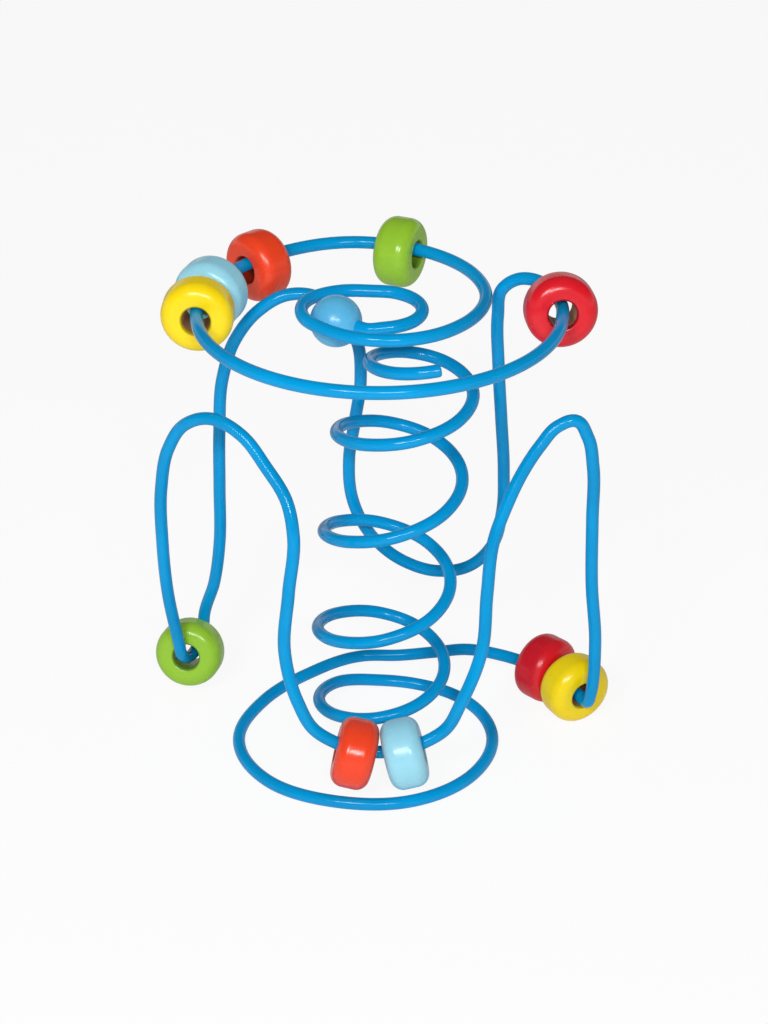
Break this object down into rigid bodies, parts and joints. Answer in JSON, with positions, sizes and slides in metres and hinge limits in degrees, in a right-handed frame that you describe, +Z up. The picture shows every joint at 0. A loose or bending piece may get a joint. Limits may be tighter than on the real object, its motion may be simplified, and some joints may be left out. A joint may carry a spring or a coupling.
{
  "type": "bead maze",
  "caption": "Free-standing bead maze: one coated wire bent into a floor ring, spring column, side loops and a flat top spiral, with loose wooden beads and a stop ball.",
  "frame": {"origin": "on the floor under the foot of the spring column, in the plane of the flat under the floor ring", "axes": "+X to the right as pictured, +Y to the back, +Z up"},
  "size_m": [0.1651, 0.1305, 0.1722],
  "materials": {
    "wire_coat": "glossy plastic coat on steel wire",
    "ball_paint": "glossy paint on wood",
    "red_paint": "semi-gloss paint on wood, bare wood in the hole",
    "yellow_paint": "semi-gloss paint on wood, bare wood in the hole",
    "light_blue_paint": "semi-gloss paint on wood, bare wood in the hole",
    "orange_paint": "semi-gloss paint on wood, in the hole too",
    "green_paint": "semi-gloss paint on wood, in the hole too"
  },
  "bodies": {
    "wire": {"spring_column": "wire_coat", "base_ring": "wire_coat", "right_sweep": "wire_coat", "right_arch": "wire_coat", "front_loop": "wire_coat", "left_arch": "wire_coat", "left_loop": "wire_coat", "back_left_arch": "wire_coat", "back_loop": "wire_coat", "right_shoulder": "wire_coat", "top_ring": "wire_coat", "top_spiral": "wire_coat", "end_ball": "ball_paint"},
    "ring_red": {"ring_red_bead": "red_paint"},
    "ring_yellow": {"ring_yellow_bead": "yellow_paint"},
    "ring_light_blue": {"ring_light_blue_bead": "light_blue_paint"},
    "ring_orange": {"ring_orange_bead": "orange_paint"},
    "ring_green": {"ring_green_bead": "green_paint"},
    "left_green": {"left_green_bead": "green_paint"},
    "front_orange": {"front_orange_bead": "orange_paint"},
    "front_light_blue": {"front_light_blue_bead": "light_blue_paint"},
    "base_red": {"base_red_bead": "red_paint"},
    "base_yellow": {"base_yellow_bead": "yellow_paint"}
  },
  "joints": [
    {"name": "ring_red_travel", "type": "hinge", "parent": "wire", "child": "ring_red", "pos_m": [0, 0.0045, 0.161], "axis": [0, 0, 1], "range_deg": [-171, 5]},
    {"name": "ring_yellow_travel", "type": "hinge", "parent": "wire", "child": "ring_yellow", "pos_m": [0, 0.0045, 0.161], "axis": [0, 0, 1], "range_deg": [-1, 171]},
    {"name": "ring_light_blue_travel", "type": "hinge", "parent": "wire", "child": "ring_light_blue", "pos_m": [0, 0.0045, 0.161], "axis": [0, 0, 1], "range_deg": [-8.5, 1]},
    {"name": "ring_orange_travel", "type": "hinge", "parent": "wire", "child": "ring_orange", "pos_m": [0, 0.0045, 0.161], "axis": [0, 0, 1], "range_deg": [-27, 6.5]},
    {"name": "ring_green_travel", "type": "hinge", "parent": "wire", "child": "ring_green", "pos_m": [-0.01084, 0.01667, 0.1589], "axis": [0, 0, 1], "range_deg": [-38, 19]},
    {"name": "left_green_rock", "type": "hinge", "parent": "wire", "child": "left_green", "pos_m": [-0.069, 0.022, 0.02537], "axis": [0.9272, -0.3746, 0], "range_deg": [-26, 54]},
    {"name": "front_orange_travel", "type": "hinge", "parent": "wire", "child": "front_orange", "pos_m": [0, -0.03635, 0.05235], "axis": [0, -0.9613, 0.2756], "range_deg": [-16, 0]},
    {"name": "front_light_blue_travel", "type": "hinge", "parent": "wire", "child": "front_light_blue", "pos_m": [0, -0.03635, 0.05235], "axis": [0, -0.9613, 0.2756], "range_deg": [0, 16]},
    {"name": "base_yellow_travel", "type": "hinge", "parent": "wire", "child": "base_yellow", "pos_m": [0.022, -0.024, 0], "axis": [0, 0, 1], "range_deg": [0, 9.5]},
    {"name": "base_red_travel", "type": "hinge", "parent": "base_yellow", "child": "base_red", "pos_m": [0.022, -0.024, 0], "axis": [0, 0, 1], "range_deg": [0, 9.5]}
  ]
}
